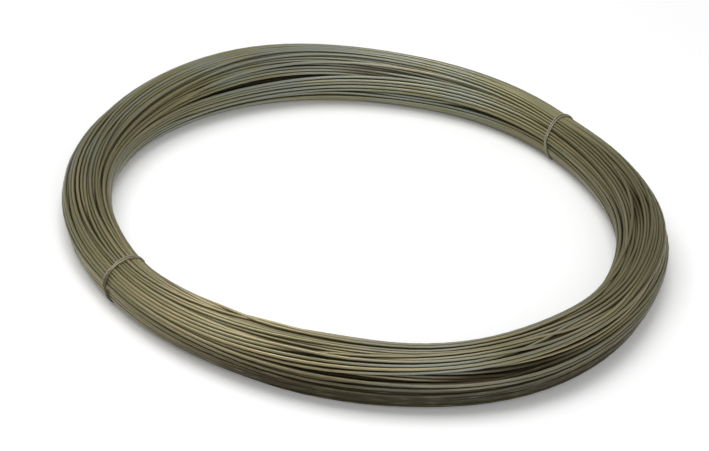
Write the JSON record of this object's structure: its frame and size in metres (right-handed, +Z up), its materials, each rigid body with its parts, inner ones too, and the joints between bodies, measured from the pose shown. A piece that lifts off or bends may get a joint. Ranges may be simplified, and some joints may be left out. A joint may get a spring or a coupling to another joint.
{
  "type": "wire coil",
  "caption": "Loose flat-lying coil of thin drawn steel wire, many round turns gathered in a rounded ring bundle and held by two doubled thin tie wires.",
  "frame": {"origin": "On the floor plane, in the middle of the coil's ring", "axes": "+Z is up along the coil's axis; -Y is the side that the picture shows in front; +X is to the right in the picture"},
  "size_m": [0.3866, 0.3866, 0.0333],
  "materials": {
    "coil_wire": "drawn steel wire with a dull olive-grey tarnish, bluish and brown in patches",
    "tie_wire": "paler, cleaner thin steel wire, softly shiny"
  },
  "bodies": {
    "root": {"wire_coil": "coil_wire", "tie_wire_front": "tie_wire", "tie_wire_rear": "tie_wire"}
  },
  "joints": []
}
